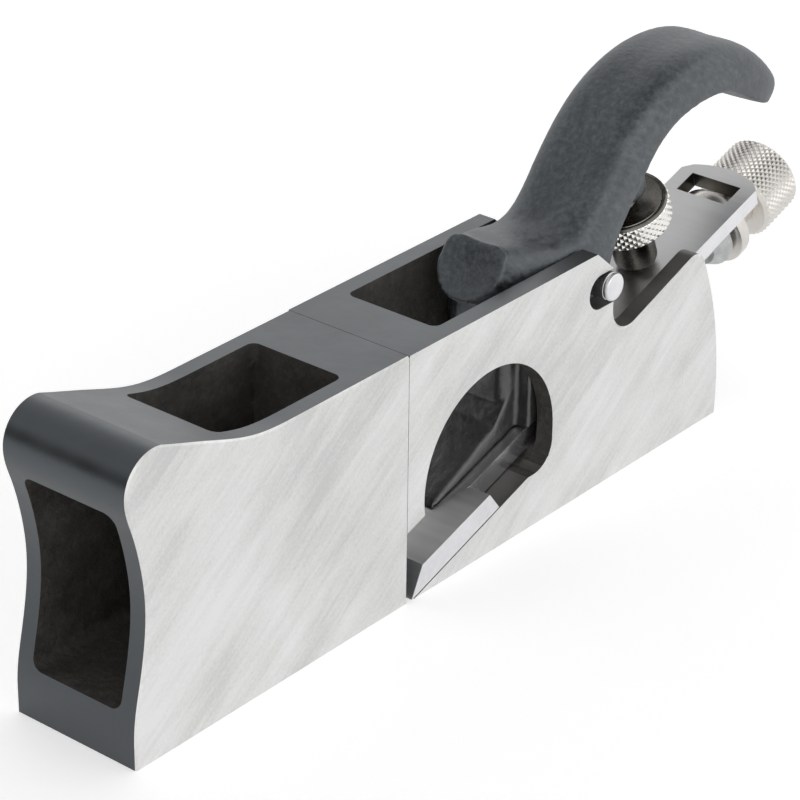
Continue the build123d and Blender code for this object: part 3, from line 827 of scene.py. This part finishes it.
def make_blade(*materials):
    """Cutting iron with its own finish on the bevel and the sides, a brighter head top as painted light,
    and painted shade on the slot walls.
    """
    mesh = eased_mesh("blade_ground", "blade", BLADE_EDGE_RADIUS, lambda edge: False)
    for face in mesh.polygons:
        face.material_index = blade_finish(face.center, face.normal)
    piece = add_piece("blade_ground", mesh, "blade", "blade", "blade", *materials)
    weigh_normals(piece)
    return piece


CAP_VOXEL = 0.34
CAP_SMOOTHING = 7
CAP_SKIN_DEPTH = 0.035
CAP_SKIN_DENSITY = 1.1
CAP_LUMP_DEPTH = 0.10
CAP_LUMP_DENSITY = 0.35
# Depth below the body's top, in millimetres, where the skin is roughest and the leg takes the darker
# painted shade
ROUGH_AND_SHADED_BELOW = 12
LEAST_ROUGH = 0.15


def rough_and_shaded_share(point):
    """How rough the cast skin is: most on the leg inside the body, where the fully rough faces also take
    the painted shade.
    """
    depth = (BODY_TOP - point.z) / (ROUGH_AND_SHADED_BELOW * MM)
    return min(1.0, max(LEAST_ROUGH, depth))


def softened_mesh(name, node):
    """Copy of a CAD node with every edge rounded over, as a sand casting has them."""
    source = bpy.data.objects.new("cap_source", frame["nodes"][node].data.copy())
    bpy.context.scene.collection.objects.link(source)
    merge_points(source.data)
    remesh = source.modifiers.new("remesh", "REMESH")
    remesh.mode = "VOXEL"
    remesh.voxel_size = CAP_VOXEL * MM
    smooth = source.modifiers.new("smooth", "SMOOTH")
    smooth.factor = 0.5
    smooth.iterations = CAP_SMOOTHING
    graph = bpy.context.evaluated_depsgraph_get()
    mesh = bpy.data.meshes.new_from_object(source.evaluated_get(graph))
    bpy.data.objects.remove(source)
    mesh.name = name
    mesh.materials.clear()
    return mesh


def roughen(mesh):
    """Moves the points of a mesh a little along their normals."""
    normals = [vertex.normal.copy() for vertex in mesh.vertices]
    for vertex, normal in zip(mesh.vertices, normals):
        place = vertex.co / MM
        skin = noise.noise(place * CAP_SKIN_DENSITY) * CAP_SKIN_DEPTH
        lumps = noise.noise(place * CAP_LUMP_DENSITY) * CAP_LUMP_DEPTH
        vertex.co += normal * (skin + lumps * rough_and_shaded_share(vertex.co)) * MM
    mesh.update()


def make_lever_cap(casting, shaded_raw):
    """Lever cap: its CAD shape with softened cast edges and a fine uneven skin, and painted shade on the
    leg deep inside the body.
    """
    mesh = softened_mesh("lever_cap_cast", "lever_cap")
    roughen(mesh)
    mesh.shade_smooth()
    # Faces deep inside the body take the darker material: painted shade on the leg
    for face in mesh.polygons:
        face.material_index = 1 if rough_and_shaded_share(face.center) == 1 else 0
    return add_piece("lever_cap_cast", mesh, "lever_cap", "lever_cap", "cap_casting", casting, shaded_raw)


def dress(node, material):
    """Gives a CAD node that keeps its own shape a material."""
    for slot in frame["nodes"][node].material_slots:
        slot.material = material


# ---- studio ----

def make_camera():
    data = bpy.data.cameras.new("camera")
    data.lens = CAMERA_LENS
    data.sensor_width = SENSOR_WIDTH
    data.clip_start = 0.01
    data.clip_end = 20
    camera = bpy.data.objects.new("camera", data)
    azimuth, elevation = radians(CAMERA_AZIMUTH), radians(CAMERA_ELEVATION)
    back = Vector((cos(elevation) * cos(azimuth), cos(elevation) * sin(azimuth), sin(elevation)))
    camera.location = CAMERA_POSITION
    camera.rotation_mode = "QUATERNION"
    roll = Quaternion((0, 0, 1), radians(CAMERA_ROLL))
    camera.rotation_quaternion = (-back).to_track_quat("-Z", "Y") @ roll
    bpy.context.scene.collection.objects.link(camera)
    bpy.context.scene.camera = camera


def make_floor():
    """Pale floor that glows a little, like a lit acrylic table."""
    mesh = bpy.data.meshes.new("floor")
    half = FLOOR_HALF
    corners = [(-half, -half, 0), (half, -half, 0), (half, half, 0), (-half, half, 0)]
    mesh.from_pydata(corners, [], [(0, 1, 2, 3)])
    floor = bpy.data.objects.new("floor", mesh)
    bpy.context.scene.collection.objects.link(floor)
    shader = Shader("pale_floor", Roughness=0.7)
    shader.principled.inputs["Base Color"].default_value = FLOOR_COLOUR
    shader.principled.inputs["Emission Color"].default_value = (1, 1, 1, 1)
    glow = shader.node("ShaderNodeMix")
    glow.inputs["A"].default_value = FLOOR_GLOW_REFLECTED
    glow.inputs["B"].default_value = FLOOR_GLOW
    shader.link(shader.node("ShaderNodeLightPath").outputs["Is Camera Ray"], glow.inputs["Factor"])
    shader.link(glow.outputs["Result"], shader.principled.inputs["Emission Strength"])
    mesh.materials.append(shader.material)


def make_world():
    """Soft studio all round: bright near the horizon, dimmer overhead, dark on one side of the front."""
    world = bpy.data.worlds.new("studio")
    world.use_nodes = True
    bpy.context.scene.world = world
    graph = Graph(world.node_tree)
    background = graph.tree.nodes["Background"]
    direction = graph.node("ShaderNodeTexCoord").outputs["Generated"]
    parts = graph.node("ShaderNodeSeparateXYZ")
    graph.link(direction, parts.inputs[0])
    towards = graph.node("ShaderNodeVectorMath", operation="DOT_PRODUCT")
    towards.inputs[1].default_value = Vector(DARK_SIDE).normalized()
    graph.link(direction, towards.inputs[0])
    product = graph.node("ShaderNodeMath", operation="MULTIPLY")
    graph.link(graph.ramp(parts.outputs["Z"], BRIGHTNESS_BY_HEIGHT), product.inputs[0])
    graph.link(graph.ramp(towards.outputs["Value"], SHADE_TOWARDS_DARK_SIDE), product.inputs[1])
    seen = graph.node("ShaderNodeMix")
    graph.link(graph.node("ShaderNodeLightPath").outputs["Is Camera Ray"], seen.inputs["Factor"])
    graph.link(product.outputs[0], seen.inputs["A"])
    seen.inputs["B"].default_value = 1 / WORLD_STRENGTH
    background.inputs["Strength"].default_value = WORLD_STRENGTH
    graph.link(seen.outputs["Result"], background.inputs["Color"])


def make_side_box():
    """Soft box out to the side that lights the near cheek."""
    data = bpy.data.lights.new("side_box", "AREA")
    data.shape = "RECTANGLE"
    data.size, data.size_y = SIDE_BOX_SIZE
    data.energy = SIDE_BOX_POWER
    light = bpy.data.objects.new("side_box", data)
    light.location = SIDE_BOX_PLACE
    light.rotation_mode = "QUATERNION"
    light.rotation_quaternion = (Vector(SIDE_BOX_TARGET) - Vector(SIDE_BOX_PLACE)).to_track_quat("-Z", "Y")
    bpy.context.scene.collection.objects.link(light)


# ---- the whole object ----

def build():
    """Every piece with its materials."""
    satin = steel("blade_satin", 0.70, 0.76, (0.3, 0.36), 1100, ACROSS, 0.003)
    # Brighter steel for the head's top, which sits in the body's openings: painted light
    head = steel("blade_head_painted_light", 0.92, 0.98, (0.46, 0.54), 1100, depth=0.004)
    ground = steel("blade_side", 0.76, 0.88, (0.3, 0.38), 900, tint=(0.99, 0.99, 1.02))
    bright = steel("bright_steel", 0.82, 0.92, (0.2, 0.28), tint=(0.99, 0.99, 1.02))
    bevel = steel("honed_bevel", 0.7, 0.8, (0.4, 0.48), 1600, ACROSS, 0.004)
    knob_nickel = steel("adjuster_nickel", 0.66, 0.78, (0.26, 0.36), 300, tint=(1.04, 1.0, 0.95))
    cap_nickel = steel("cap_screw_nickel", 0.86, 0.96, (0.2, 0.3), 300, tint=(1.02, 1.0, 0.96))
    # Dark warm nickel for the knob's crown and foot: a painted reflection of the dark lever cap
    crown_painted_reflection_nickel = steel("cap_screw_crown_painted_reflection", 0.15, 0.26, (0.2, 0.32), tint=WARM, depth=0.01)
    thread_steel = steel("thread_steel", 0.12, 0.2, (0.28, 0.42), tint=WARM, depth=0.01)
    black_steel = steel("black_oxide", 0.03, 0.05, (0.28, 0.42), tint=WARM, depth=0.01)
    castings = [ground_iron(), grey_paint(), rough_casting(), milled_edge(), bare_casting()]
    make_casting("rear_casting", "rear_body", "body", rear_finish, castings)
    make_casting("nose_casting", "nose_body", "nose", nose_finish, castings)
    # The iron's last material, the dark thread steel, paints the shade on its slot walls
    make_blade(satin, bright, bevel, ground, head, thread_steel)
    # The lever cap's second material paints the shade on the leg deep inside the body
    make_lever_cap(cap_casting(), shaded_raw_cap_casting())
    make_cap_knob(cap_nickel, crown_painted_reflection_nickel)
    make_cap_stud(thread_steel)
    make_adjuster_knob(knob_nickel)
    make_adjuster_spindle(thread_steel)
    make_adjuster_collar(knob_nickel)
    make_pin(satin, bright)
    make_nose_screw(black_steel)
    dress("nose_washer", satin)
    dress("dowel_pin_left", bright)
    dress("dowel_pin_right", bright)


build()
make_floor()
make_world()
make_side_box()
make_camera()
bpy.context.scene.view_settings.view_transform = "Standard"
